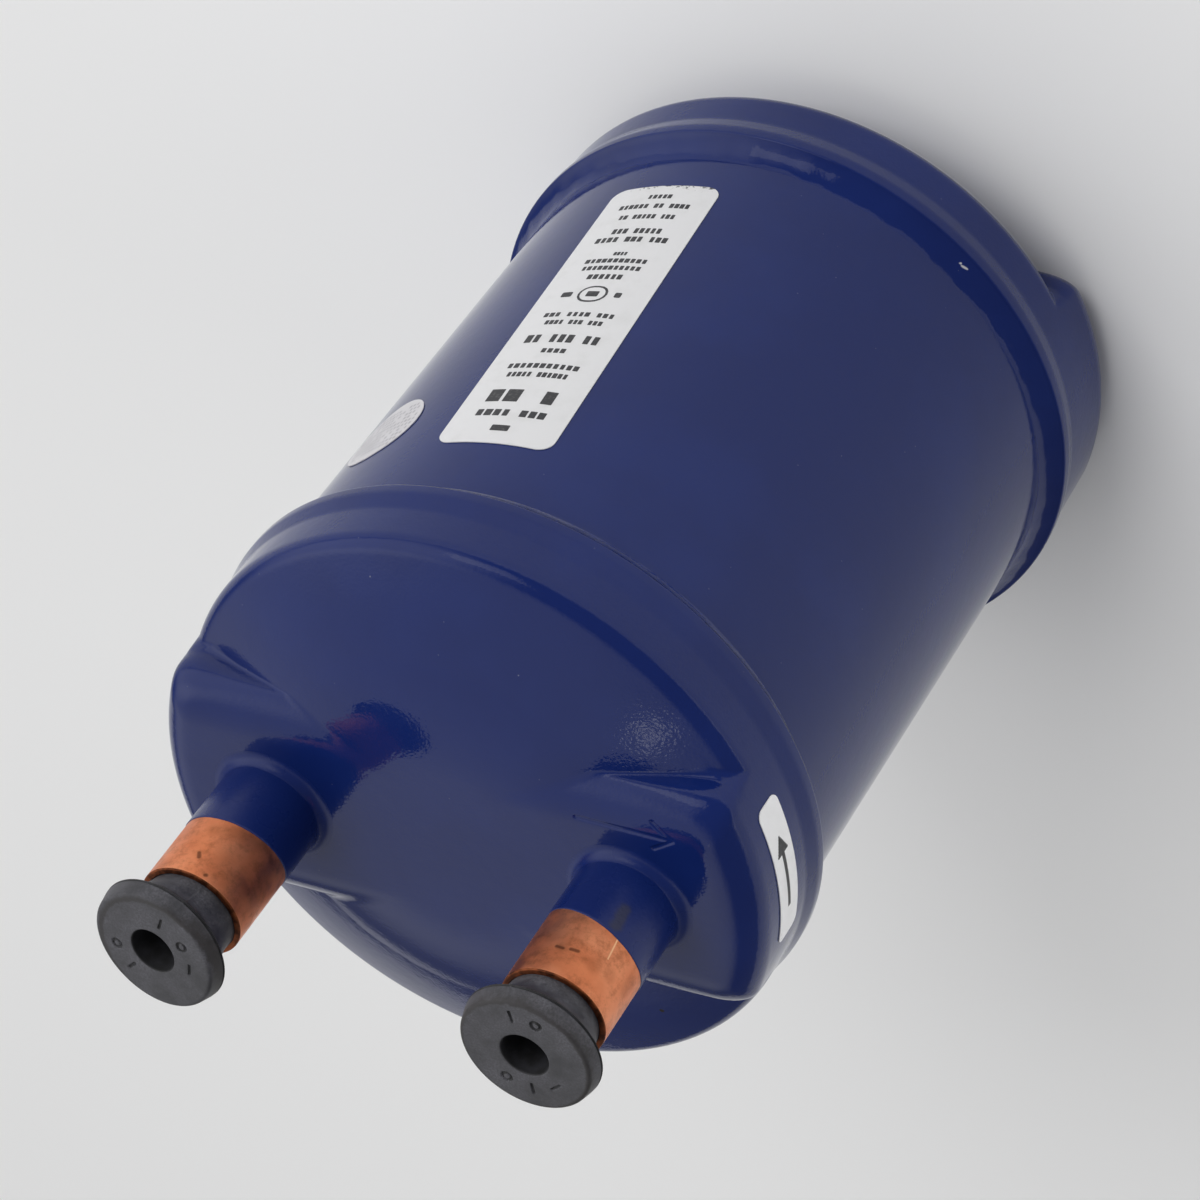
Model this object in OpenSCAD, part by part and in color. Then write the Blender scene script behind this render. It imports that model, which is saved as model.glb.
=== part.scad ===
// Suction line accumulator: a welded steel vessel with two pressed caps,
// two copper connections on top, and a return tube inside.
// It stands upright, on the raised band of the lower cap, with that face on z = 0.
// The inlet is on +X and the outlet on -X.

/* [Vessel] */
// Outside diameter of the shell
shell_d = 101.6; // [98:0.1:130]
// Wall of the shell
shell_wall = 2; // [1.2:0.1:2.6]
// Height over both caps, without the connections
body_h = 148.5; // [140:0.5:260]

/* [Caps] */
// Wall of a pressed cap
cap_wall = 3.2; // [2:0.1:3.6]
// Height of a cap from its mouth to its raised face
cap_h = 24; // [22:0.5:32]
// Clearance between a part and the hole that it slips into
slip = 0.1; // [0.05:0.05:0.2]
// How far the shell goes into a cap
mouth_depth = 2.2; // [1.5:0.1:3]
// How far the widened mouth stands out from the dome's side
mouth_step = 0.8; // [0.4:0.1:1.6]
// Straight length of the widened mouth, outside
bell_len = 2.2; // [1.8:0.1:4]
// Length over which the mouth narrows to the dome
joggle_len = 3; // [2.8:0.1:5]
// Rounding of the two bends in the narrowing
joggle_r = 4; // [2:0.1:6]
// Rounding of the rim where the face is raised
rim_r = 6; // [4:0.5:7]
// Rounding of the rim where the face is pressed down
slope_rim_r = 3.5; // [3:0.1:5]
// Radius at which the pressed slopes begin
slope_r = 26; // [22:0.5:30]
// Angle of the pressed slopes
slope_deg = 21; // [14:0.5:23]
// Rounding between the middle of the face and a slope
slope_blend_r = 55; // [20:1:60]
// Width of the raised band that carries the connections, between its steep sides
band_w = 43.6; // [40:0.2:46]
// Rounding of the band's edges
band_edge_r = 12; // [8:0.5:13]
// How far the rounding turns down before a steep side
band_turn = 45; // [35:1:52]
// Steepness of the band's sides
band_deg = 80; // [70:1:86]

/* [Welds] */
// Leg of the weld along the shell
weld_leg = 3.6; // [2.5:0.1:6]
// Radius of the weld's hollow surface
weld_hollow_r = 7; // [5:0.5:20]
// Width of the mouth's edge that the weld leaves bare
weld_bare = 0.3; // [0.1:0.1:0.6]

/* [Connections] */
// Distance from a connection's middle to the side of the shell
stub_inset = 18.8; // [17.2:0.1:21]
// Outside diameter of a connection
stub_d = 17.7; // [14:0.1:19]
// Wall of a connection
stub_wall = 0.9; // [0.7:0.1:1.4]
// Height of a connection above the raised face
stub_h = 26.3; // [18:0.1:40]
// Length of a connection below the raised face
stub_in = 16; // [14:0.5:22]
// Rounding of a connection's mouth
stub_edge_r = 0.3; // [0.1:0.1:0.4]
// Leg of the brazed ring at a connection's foot
braze_leg = 2.1; // [1:0.1:2.4]
// Radius of the brazed rings' hollow surface
braze_hollow_r = 3; // [2.6:0.1:6]

/* [Plugs] */
// Diameter of a plug's head, where it is widest
plug_head_d = 23.2; // [20:0.1:28]
// Diameter of a plug's face, before its edge is rounded
plug_face_d = 21.8; // [18:0.1:26]
// Height of a plug's head above the connection's mouth
plug_head_h = 9.3; // [8:0.1:12]
// Height of the head's rim, from its widest place to its face
plug_rim_h = 3; // [2:0.1:4]
// Rounding of the head's front edge
plug_edge_r = 0.8; // [0.3:0.1:1.2]
// Radius of the hollow under the head
plug_flare_r = 9; // [8:0.5:14]
// Length of the stem inside the connection
plug_stem_len = 12; // [8:0.5:16]
// Narrowing of the stem at its tip, on each side
plug_taper = 0.5; // [0.2:0.1:1]
// Diameter of the blind hole in the head
plug_hole_d = 8; // [5:0.1:10]
// Depth of the blind hole
plug_hole_depth = 15; // [10:0.5:18]
// How far the outlet's plug leans
outlet_plug_lean = 6; // [0:0.5:8]
// Direction in which the outlet's plug leans
outlet_plug_deg = 147; // [0:1:360]

/* [Return tube] */
// Wall of the return tube
tube_wall = 1; // [0.8:0.1:1.6]
// Bend radius of the return tube
bend_r = 20; // [16:0.5:21]
// Space under the return tube
tube_floor = 15; // [13:0.5:20]
// How far the return tube goes into the outlet connection
tube_lap = 9; // [6:0.5:10]
// Leg of the brazed ring on the return tube
tube_braze_leg = 0.9; // [0.5:0.1:0.9]
// Distance from the raised face down to the tube's open end
open_drop = 28; // [24:0.5:40]
// Slant of the tube's open end
open_deg = 25; // [0:1:35]
// Height of the brace between the tube's legs
brace_z = 86; // [70:1:100]
// Thickness of the brace
brace_t = 1.5; // [1:0.1:3]
// Width of the brace round each leg
brace_rim = 4; // [3:0.5:6]

/* [Oil return] */
// Diameter of the metering insert's neck
orifice_d = 6; // [4:0.1:7]
// Diameter of the metering hole
orifice_bore = 1.5; // [0.8:0.1:2.5]
// Length of neck between the tube and the collar
orifice_neck = 2.5; // [2:0.1:3]
// Diameter of the insert's collar
collar_d = 10; // [9:0.1:12]
// Height of the insert's collar
collar_h = 3; // [2:0.1:4]
// Wall of the oil screen
screen_wall = 0.6; // [0.4:0.1:1]
// Height of the oil screen
screen_h = 8; // [6:0.5:9]

/* [Inlet deflector] */
// Thickness of the deflector
deflector_t = 1.2; // [0.8:0.1:2]
// How far the deflector laps onto the inlet connection
deflector_lap = 6; // [4:0.5:8]
// How far the deflector reaches below the inlet connection
deflector_drop = 10; // [6:0.5:14]

/* [Labels] */
// Thickness of a label
label_t = 0.15; // [0.1:0.05:0.3]
// Thickness of the glue under a label
glue_t = 0.05; // [0.04:0.01:0.1]
// Length of the rating label, along the shell
rating_len = 73; // [50:0.5:76]
// Width of the rating label, round the shell
rating_w = 20.4; // [14:0.1:26]
// Corner radius of the rating label
rating_r = 2.6; // [1:0.1:4]
// Place of the rating label round the shell
rating_deg = 99; // [90:1:101]
// Height of the rating label's middle above the middle of the shell
rating_up = -1.7; // [-4:0.1:1]
// Lean of the rating label
rating_lean = 3.4; // [-6:0.2:6]
// Diameter of the round sticker
sticker_d = 16; // [10:0.5:18]
// Place of the round sticker round the shell
sticker_deg = 127.5; // [126:0.5:140]
// Height of the round sticker above the middle of the shell
sticker_up = 26.5; // [10:0.5:28]
// Length of the inlet's label, round the cap
inlet_label_len = 27.5; // [20:0.5:36]
// Height of the inlet's label
inlet_label_h = 6.2; // [5:0.1:6.4]
// Corner radius of the inlet's label
inlet_label_r = 1.6; // [0.5:0.1:2]
// Place of the inlet's label round the cap
inlet_label_deg = 2; // [-5:1:5]
// Distance of the inlet's label from the narrowing
inlet_label_gap = 3.1; // [0.1:0.1:4]

/* [Hidden] */
$fn = 96;

// Overrun of a cut past the face that it opens
over = 1;
// Least radius inside a bend of the sheet
min_bend = 0.3;
// How much further out than the arc the cut round it reaches
arc_clear = 1.02;

shell_r = shell_d / 2;
shell_len = body_h - 2 * (cap_h - mouth_depth);
bell_r = shell_r + slip + cap_wall;
side_r = bell_r - mouth_step;
mouth_z = body_h - cap_h;
joggle_top = bell_len + joggle_len;
joggle_turn = atan2(mouth_step, joggle_len);
joggle_reach = joggle_r * tan(joggle_turn / 2);
// The sheet's bends are never tighter than its wall
least_r = cap_wall + min_bend;
raised_rim = max(rim_r, least_r);
slope_rim = max(slope_rim_r, least_r);
band_edge = max(band_edge_r, least_r);

stub_r = stub_d / 2;
stub_x = shell_r - stub_inset;
bore_r = stub_r - stub_wall;
stub_foot = body_h - stub_in;
stub_mouth = body_h + stub_h;
neck_r = bore_r - slip;

// The return tube slips into the outlet connection
tube_r = bore_r - slip;
bend_x = bend_r - stub_x;
open_x = 2 * bend_r - stub_x;
tube_low = cap_wall + tube_floor;
bend_z = tube_low + tube_r + bend_r;
tube_top = stub_foot + tube_lap;
open_z = body_h - open_drop;
collar_z = tube_low - orifice_neck - collar_h;
orifice_h = collar_h + orifice_neck + tube_wall;

blue = "#2b3272";
copper = "#b5673d";
rubber = "#3b3c40";
steel = "#8f9296";
brass = "#b08d45";
paper = "#f2f2f0";

// A point at an angle on a circle
function on_circle(c, r, a) = [c[0] + r * cos(a), c[1] + r * sin(a)];

// Centre of an arc through two points, on the right of the way from the first to the second
function arc_centre(a, b, r) =
    let (d = b - a, long = norm(d))
    (a + b) / 2 + sqrt(r * r - long * long / 4) * [d[1], -d[0]] / long;

// The segment of a disc between two angles, reaching in to an apex inside the profile
module arc_fill(c, r, a0, a1, apex) {
    far_r = arc_clear * r / cos((a1 - a0) / 2);
    intersection() {
        translate(c) circle(r);
        polygon([apex, on_circle(c, r, a0), on_circle(c, far_r, (a0 + a1) / 2), on_circle(c, r, a1)]);
    }
}

// Half section of a cap that is pressed down all round, or of the space inside it
module slope_section(inset) {
    rim_x = side_r - slope_rim;
    rim_c = [rim_x, cap_h - (rim_x - slope_r) * tan(slope_deg) - slope_rim / cos(slope_deg)];
    rim_arc = slope_rim - inset;
    blend_c = [slope_r - slope_blend_r * tan(slope_deg / 2), cap_h - slope_blend_r];
    blend_arc = slope_blend_r - inset;
    slope_a = 90 - slope_deg;
    polygon([[0, joggle_top], [side_r - inset, joggle_top], on_circle(rim_c, rim_arc, 0),
        on_circle(rim_c, rim_arc, slope_a), on_circle(blend_c, blend_arc, slope_a),
        on_circle(blend_c, blend_arc, 90), [0, cap_h - inset]]);
    arc_fill(rim_c, rim_arc, 0, slope_a, rim_c);
    arc_fill(blend_c, blend_arc, slope_a, 90, [blend_c[0], cap_h - inset - raised_rim]);
}

// Half section of a cap that is raised all round, or of the space inside it
module raised_section(inset) {
    rim_c = [side_r - raised_rim, cap_h - raised_rim];
    rim_arc = raised_rim - inset;
    polygon([[0, joggle_top], [side_r - inset, joggle_top], on_circle(rim_c, rim_arc, 0),
        on_circle(rim_c, rim_arc, 90), [0, cap_h - inset]]);
    arc_fill(rim_c, rim_arc, 0, 90, rim_c);
}

// Cross section of the raised band, or of the space inside it
module band_section(inset) {
    edge_c = [band_w / 2 - band_edge * sin(band_turn), cap_h - band_edge];
    edge_arc = band_edge - inset;
    // The rounding ends where it meets the steep side, a little sooner inside the sheet
    end_a = 180 - band_deg - asin((band_edge * cos(band_deg - band_turn) - inset) / edge_arc);
    side = on_circle(edge_c, edge_arc, end_a);
    foot_x = side[0] + (side[1] - joggle_top) / tan(band_deg);
    for (s = [0, 1]) mirror([s, 0]) {
        polygon([[-over, joggle_top], [foot_x, joggle_top], side,
            on_circle(edge_c, edge_arc, 90), [-over, cap_h - inset]]);
        arc_fill(edge_c, edge_arc, end_a, 90, [edge_c[0], joggle_top]);
    }
}

// The domed end of a cap, or the space inside it
module dome(inset) {
    rotate_extrude() slope_section(inset);
    intersection() {
        rotate_extrude() raised_section(inset);
        rotate([90, 0, 90]) linear_extrude(2 * (side_r + over), center = true) band_section(inset);
    }
}

// The widened mouth of a cap, narrowing to the dome
module mouth() {
    out_c = [bell_r - joggle_r, bell_len - joggle_reach];
    in_c = [side_r + joggle_r, joggle_top + joggle_reach];
    rotate_extrude() {
        polygon([[0, 0], [bell_r, 0], on_circle(out_c, joggle_r, 0),
            on_circle(out_c, joggle_r, joggle_turn), [side_r, joggle_top], [0, joggle_top]]);
        arc_fill(out_c, joggle_r, 0, joggle_turn, out_c);
        // Hollow bend at the dome
        difference() {
            polygon([[side_r - over, joggle_top - over], on_circle(in_c, joggle_r, 180 + joggle_turn),
                on_circle(in_c, joggle_r, 180), [side_r - over, in_c[1]]]);
            translate(in_c) circle(joggle_r);
        }
    }
}

// One pressed cap, with its mouth on z = 0
module cap(with_holes) {
    difference() {
        union() {
            dome(0);
            mouth();
        }
        dome(cap_wall);
        cylinder(r = side_r - cap_wall, h = joggle_top + over);
        translate([0, 0, -over]) cylinder(r = shell_r + slip, h = mouth_depth + over);
        if (with_holes)
            for (x = [-stub_x, stub_x])
                translate([x, 0, cap_h - 2 * cap_wall])
                    cylinder(r = stub_r + slip, h = 2 * cap_wall + over);
    }
}

module top_cap() {
    color(blue) translate([0, 0, mouth_z]) cap(true);
}

module bottom_cap() {
    color(blue) translate([0, 0, cap_h]) mirror([0, 0, 1]) cap(false);
}

module shell() {
    color(blue) translate([0, 0, cap_h - mouth_depth]) difference() {
        cylinder(r = shell_r, h = shell_len);
        translate([0, 0, -over]) cylinder(r = shell_r - shell_wall, h = shell_len + 2 * over);
    }
}

// A hollow fillet in the corner between an upright wall and the face that it stands on
module fillet_ring(wall_r, leg_out, leg_up, hollow_r) {
    out_end = [wall_r + leg_out, 0];
    up_end = [wall_r, leg_up];
    rotate_extrude() difference() {
        polygon([[wall_r, 0], out_end, up_end]);
        translate(arc_centre(out_end, up_end, hollow_r)) circle(hollow_r);
    }
}

// The weld between the shell and a cap's mouth
module weld() {
    color(blue) fillet_ring(shell_r, bell_r - shell_r - weld_bare, weld_leg, weld_hollow_r);
}

module top_weld() {
    translate([0, 0, mouth_z]) mirror([0, 0, 1]) weld();
}

module bottom_weld() {
    translate([0, 0, cap_h]) weld();
}

// A copper connection, through the cap
module stub(x) {
    color(copper) translate([x, 0, stub_foot]) rotate_extrude() difference() {
        translate([bore_r, 0]) square([stub_wall, stub_in + stub_h]);
        translate([stub_r - stub_edge_r, stub_in + stub_h - stub_edge_r]) difference() {
            square(stub_edge_r + over);
            circle(stub_edge_r);
        }
    }
}

module inlet_stub() {
    stub(stub_x);
}

module outlet_stub() {
    stub(-stub_x);
}

// The brazed ring at a connection's foot
module braze(x) {
    color(blue) translate([x, 0, body_h]) fillet_ring(stub_r, braze_leg, braze_leg, braze_hollow_r);
}

module inlet_braze() {
    braze(stub_x);
}

module outlet_braze() {
    braze(-stub_x);
}

// A plug's head, from the connection's mouth up
module plug_head() {
    head_r = plug_head_d / 2;
    face_r = plug_face_d / 2;
    rim_a = atan2(head_r - face_r, plug_rim_h);
    neck_end = [neck_r, 0];
    back_end = [head_r, plug_head_h - plug_rim_h];
    edge_c = [face_r - plug_edge_r * (1 - sin(rim_a)) / cos(rim_a), plug_head_h - plug_edge_r];
    rotate_extrude() difference() {
        union() {
            polygon([[0, 0], neck_end, back_end, on_circle(edge_c, plug_edge_r, rim_a),
                on_circle(edge_c, plug_edge_r, 90), [0, plug_head_h]]);
            arc_fill(edge_c, plug_edge_r, rim_a, 90, edge_c);
        }
        translate(arc_centre(neck_end, back_end, plug_flare_r)) circle(plug_flare_r);
    }
}

// A push-in plug: its stem stands straight in the connection, and its head may lean
module plug(lean) {
    lift = neck_r * sin(lean);
    color(rubber) translate([0, 0, stub_mouth]) difference() {
        union() {
            translate([0, 0, lift]) rotate([0, lean, 0]) plug_head();
            translate([0, 0, -plug_stem_len])
                cylinder(r1 = neck_r - plug_taper, r2 = neck_r, h = plug_stem_len);
            cylinder(r = neck_r - slip, h = plug_head_h / 2);
        }
        translate([0, 0, lift]) rotate([0, lean, 0]) translate([0, 0, plug_head_h - plug_hole_depth])
            cylinder(r = plug_hole_d / 2, h = plug_hole_depth + over);
    }
}

module inlet_plug() {
    translate([stub_x, 0, 0]) plug(0);
}

module outlet_plug() {
    translate([-stub_x, 0, 0]) rotate([0, 0, outlet_plug_deg]) plug(outlet_plug_lean);
}

// The run of the return tube, at a radius, past its ends by a length
module tube_run(r, past) {
    for (leg = [[-stub_x, tube_top], [open_x, open_z]])
        translate([leg[0], 0, bend_z]) cylinder(r = r, h = leg[1] - bend_z + past);
    translate([bend_x, 0, bend_z]) rotate([-90, 0, 0])
        rotate_extrude(angle = 180) translate([bend_r, 0]) circle(r);
}

// The tube from the outlet down to the oil and up to its open end
module return_tube() {
    color(steel) difference() {
        tube_run(tube_r, 0);
        tube_run(tube_r - tube_wall, over);
        translate([bend_x, 0, tube_low - over]) cylinder(r = orifice_d / 2 + slip, h = tube_r);
        translate([open_x, 0, open_z]) rotate([0, open_deg, 0])
            translate([0, 0, tube_r]) cube(4 * tube_r, center = true);
    }
}

// The brazed ring between the return tube and the outlet connection
module tube_braze() {
    color(brass) translate([-stub_x, 0, stub_foot]) mirror([0, 0, 1])
        fillet_ring(tube_r, tube_braze_leg, tube_braze_leg, braze_hollow_r);
}

// The plate that ties the two legs of the return tube
module tube_brace() {
    color(steel) translate([0, 0, brace_z]) difference() {
        union() {
            for (x = [-stub_x, open_x]) translate([x, 0, 0]) cylinder(r = tube_r + brace_rim, h = brace_t);
            translate([-stub_x, -tube_r, 0]) cube([2 * bend_r, 2 * tube_r, brace_t]);
        }
        for (x = [-stub_x, open_x])
            translate([x, 0, -over]) cylinder(r = tube_r + slip, h = brace_t + 2 * over);
    }
}

// The insert that meters oil back into the tube
module oil_orifice() {
    color(brass) translate([bend_x, 0, collar_z]) difference() {
        union() {
            cylinder(d = collar_d, h = collar_h);
            cylinder(d = orifice_d, h = orifice_h);
        }
        translate([0, 0, -over]) cylinder(d = orifice_bore, h = orifice_h + 2 * over);
    }
}

// The cup of fine mesh round the insert's collar
module oil_screen() {
    color(steel) translate([bend_x, 0, collar_z + collar_h - screen_h]) difference() {
        cylinder(r = collar_d / 2 + slip + screen_wall, h = screen_h);
        translate([0, 0, screen_wall]) cylinder(r = collar_d / 2 + slip, h = screen_h);
    }
}

// The scoop that turns the inlet's flow to the wall
module inlet_deflector() {
    inner_r = stub_r + slip;
    color(steel) translate([stub_x, 0, stub_foot - deflector_drop]) rotate([0, 0, 90])
        rotate_extrude(angle = 180) {
            translate([inner_r, 0]) square([deflector_t, deflector_lap + deflector_drop]);
            square([inner_r + deflector_t / 2, deflector_t]);
        }
}

// A rectangle with round corners
module round_rect(w, h, r) {
    square([w - 2 * r, h], center = true);
    square([w, h - 2 * r], center = true);
    for (x = [-1, 1], y = [-1, 1]) translate([x * (w / 2 - r), y * (h / 2 - r)]) circle(r);
}

// A label's outline, wrapped on a round wall at a height and an angle
module wrap(wall_r, z, deg) {
    color(paper) translate([0, 0, z]) rotate([0, 0, deg]) intersection() {
        difference() {
            cylinder(r = wall_r + glue_t + label_t, h = body_h, center = true);
            cylinder(r = wall_r + glue_t, h = body_h + over, center = true);
        }
        rotate([90, 0, 90]) linear_extrude(2 * wall_r) children();
    }
}

module rating_label() {
    wrap(shell_r, body_h / 2 + rating_up, rating_deg)
        rotate(rating_lean) round_rect(rating_w, rating_len, rating_r);
}

module round_sticker() {
    wrap(shell_r, body_h / 2 + sticker_up, sticker_deg) circle(d = sticker_d);
}

module inlet_label() {
    wrap(side_r, mouth_z + joggle_top + joggle_reach + inlet_label_gap + inlet_label_h / 2, inlet_label_deg)
        round_rect(inlet_label_len, inlet_label_h, inlet_label_r);
}

shell();
top_cap();
bottom_cap();
top_weld();
bottom_weld();
inlet_stub();
outlet_stub();
inlet_braze();
outlet_braze();
inlet_plug();
outlet_plug();
return_tube();
tube_braze();
tube_brace();
oil_orifice();
oil_screen();
inlet_deflector();
rating_label();
round_sticker();
inlet_label();
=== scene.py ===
"""Looks of a suction line accumulator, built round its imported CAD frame.

Shapes are worked out in millimetres in the frame's own axes and turned to metres
when a mesh is made. The inlet is on +X, the outlet on -X, and the vessel stands on z = 0.
"""
import math

import bpy
import numpy as np
from mathutils import Matrix, Vector


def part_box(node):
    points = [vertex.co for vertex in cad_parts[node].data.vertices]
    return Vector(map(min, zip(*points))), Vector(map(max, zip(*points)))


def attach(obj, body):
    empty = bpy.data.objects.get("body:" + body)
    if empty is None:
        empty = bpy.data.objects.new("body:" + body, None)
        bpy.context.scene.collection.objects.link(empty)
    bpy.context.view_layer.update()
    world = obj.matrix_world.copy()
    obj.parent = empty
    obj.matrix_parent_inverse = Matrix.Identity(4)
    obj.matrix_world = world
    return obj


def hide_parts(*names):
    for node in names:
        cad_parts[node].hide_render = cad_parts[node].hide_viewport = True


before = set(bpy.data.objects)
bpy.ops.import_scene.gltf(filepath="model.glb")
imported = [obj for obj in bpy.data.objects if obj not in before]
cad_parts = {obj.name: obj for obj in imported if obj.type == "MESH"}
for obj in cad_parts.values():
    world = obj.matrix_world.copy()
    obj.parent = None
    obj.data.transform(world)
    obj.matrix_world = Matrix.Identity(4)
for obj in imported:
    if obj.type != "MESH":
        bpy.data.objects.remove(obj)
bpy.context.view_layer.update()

MM = 0.001
BODY = "root"


def node_box(node):
    """Lowest and highest corner of a CAD node, in millimetres."""
    low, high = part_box(node)
    return np.array(low) / MM, np.array(high) / MM


# Sizes read from the frame
SHELL_LOW, SHELL_HIGH = node_box("shell")
SHELL_R = SHELL_HIGH[0]
CAP_LOW, CAP_HIGH = node_box("top_cap")
BELL_R = CAP_HIGH[0]
MOUTH_Z = CAP_LOW[2]
FACE_Z = CAP_HIGH[2]
CAP_H = FACE_Z - MOUTH_Z
WELD_LEG = MOUTH_Z - node_box("top_weld")[0][2]
STUB_LOW, STUB_HIGH = node_box("inlet_stub")
STUB_R = (STUB_HIGH[0] - STUB_LOW[0]) / 2
STUB_X = (STUB_HIGH[0] + STUB_LOW[0]) / 2
STUB_FOOT = STUB_LOW[2]
STUB_MOUTH = STUB_HIGH[2]
BRAZE_LEG = node_box("inlet_braze")[1][2] - FACE_Z
PLUG_LOW, PLUG_HIGH = node_box("inlet_plug")
PLUG_R = (PLUG_HIGH[0] - PLUG_LOW[0]) / 2
PLUG_HEAD_H = PLUG_HIGH[2] - STUB_MOUTH
PLUG_STEM = STUB_MOUTH - PLUG_LOW[2]

# Sizes of the pressed caps, as in the part's source
CAP_WALL = 3.2
MOUTH_STEP = 0.8
SIDE_R = BELL_R - MOUTH_STEP
SLIP = 0.1
MOUTH_DEPTH = 2.2
BELL_LEN = 2.2
JOGGLE_LEN = 3.0
JOGGLE_R = 4.0
RIM_R = 6.0
SLOPE_RIM_R = 3.5
SLOPE_START_R = 26.0
SLOPE_DEG = 21.0
SLOPE_BLEND_R = 55.0
BAND_W = 43.6
BAND_EDGE_R = 12.0
BAND_TURN = 45.0
BAND_DEG = 80.0
JOGGLE_TOP = BELL_LEN + JOGGLE_LEN
JOGGLE_TURN = math.degrees(math.atan2(MOUTH_STEP, JOGGLE_LEN))
JOGGLE_REACH = JOGGLE_R * math.tan(math.radians(JOGGLE_TURN / 2))
SIDE_Z = JOGGLE_TOP + JOGGLE_REACH

# Softness of the pressed edges, which the source leaves sharp
MOUTH_EDGE_R = 0.6
CREASE_SOFT = 0.8
RIM_CREASE_SOFT = 6.0
CORNER_SOFT = 4.0
BAND_EASE = 1.0
SLOPE_CROWN = 0.25
# Towards the rim the band's rounding turns further down, and its steep sides die away
RIM_TURN = 76.0
TURN_START_R, TURN_END_R = 36.0, 49.8

# Sizes of the smaller pieces, as in the part's source
SHELL_WALL = 2.0
WELD_HOLLOW_R = 7.0
WELD_BARE = 0.3
STUB_WALL = 0.9
STUB_EDGE_R = 0.3
BORE_R = STUB_R - STUB_WALL
PLUG_NECK_R = BORE_R - SLIP
PLUG_FACE_R = 10.9
PLUG_RIM_H = 3.0
PLUG_EDGE_R = 0.8
PLUG_FLARE_R = 9.0
PLUG_TAPER = 0.5
PLUG_HOLE_R = 4.0
PLUG_HOLE_DEPTH = 15.0
OUTLET_PLUG_LEAN = 6.0
OUTLET_PLUG_DEG = 147.0
LABEL_T = 0.15
GLUE_T = 0.05
INK_T = 0.012
RATING_LEN, RATING_W, RATING_R = 73.0, 20.4, 2.6
RATING_DEG, RATING_LEAN = 99.0, 3.4
STICKER_R, STICKER_DEG = 8.0, 127.5
STICKER_FLAT = 1e-4
TAG_LEN, TAG_H, TAG_R = 27.5, 6.2, 1.6
TAG_DEG = 2.0

# How finely the round pieces are cut
SHELL_TURNS = 288
STUB_TURNS = 144
PLUG_TURNS = 360


# Outlines and meshes

def arc(centre, radius, start, stop, steps):
    """Points of an arc between two angles in degrees."""
    a = np.radians(np.linspace(start, stop, steps))
    return np.column_stack((centre[0] + radius * np.cos(a), centre[1] + radius * np.sin(a)))


def arc_between(first, last, radius, steps):
    """Points of the hollow arc from one point to another, its centre on the right of the way."""
    first, last = np.array(first, float), np.array(last, float)
    way = last - first
    length = np.hypot(*way)
    side = math.sqrt(radius ** 2 - length ** 2 / 4)
    centre = (first + last) / 2 + side * np.array((way[1], -way[0])) / length
    a0, a1 = (math.degrees(math.atan2(*(end - centre)[::-1])) for end in (first, last))
    turn = (a1 - a0 + 180) % 360 - 180
    return arc(centre, radius, a0, a0 + turn, steps)


def path(*parts):
    """One outline from points and runs of points."""
    return np.vstack([np.atleast_2d(np.array(p, float)) for p in parts])


def dense(outline, step):
    """The same outline with points no further apart than a step."""
    out = [outline[:1]]
    for a, b in zip(outline[:-1], outline[1:]):
        n = max(1, int(math.ceil(np.hypot(*(b - a)) / step)))
        out.append(a + (b - a) * (np.arange(1, n + 1) / n)[:, None])
    return np.vstack(out)


def even_turn(turns):
    """Angles all the way round, in radians."""
    return 2 * np.pi * np.arange(turns) / turns


def turned(outline, angles):
    """Rows of points from an outline of radius and height, turned about the Z axis."""
    r, z = outline[:, :1], outline[:, 1:]
    return np.stack((r * np.cos(angles), r * np.sin(angles), z + 0 * angles), axis=2)


def swollen(rows, growth):
    """Rows of points moved out from the Z axis by a growth."""
    share = 1 + growth / np.hypot(rows[..., 0], rows[..., 1])
    return rows * np.stack((share, share, np.ones_like(share)), axis=2)


def skin(name, rows, row_materials=None, ring=False, finer_part=None):
    """A mesh piece over rows of points that go round.

    The end rows meet in a ring, or else each closes to its middle. A finer part is a block
    of the rows and the closer grid of points that takes its place.
    """
    n, turns = rows.shape[:2]
    if row_materials is None:
        row_materials = [0] * n
    points, faces, kinds = [rows.reshape(-1, 3)], [], []
    materials = np.broadcast_to(np.reshape(row_materials, (n, -1)), (n, turns))
    col = np.arange(turns)
    nxt = (col + 1) % turns
    for i in range(n if ring else n - 1):
        a, b = i * turns, ((i + 1) % n) * turns
        faces += np.column_stack((a + col, a + nxt, b + nxt, b + col)).tolist()
        kinds += materials[i].tolist()
    count = n * turns
    for row, flip in () if ring else ((0, True), (n - 1, False)):
        points.append(rows[row].mean(axis=0, keepdims=True))
        a = row * turns
        spread = np.column_stack((a + col, a + nxt, np.full(turns, count)))
        faces += (spread[:, ::-1] if flip else spread).tolist()
        kinds += materials[row].tolist()
        count += 1
    if finer_part is not None:
        block, fine = finer_part
        faces, extra = with_block(faces, turns, block, fine, count)
        kinds = [0] * len(faces)
        points.append(extra)
    return mesh_piece(name, np.vstack(points), faces, kinds)


def fan(corner, *others):
    """Triangles from a corner over a run of other points."""
    return [[corner, a, b] for a, b in zip(others[:-1], others[1:])]


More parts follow.
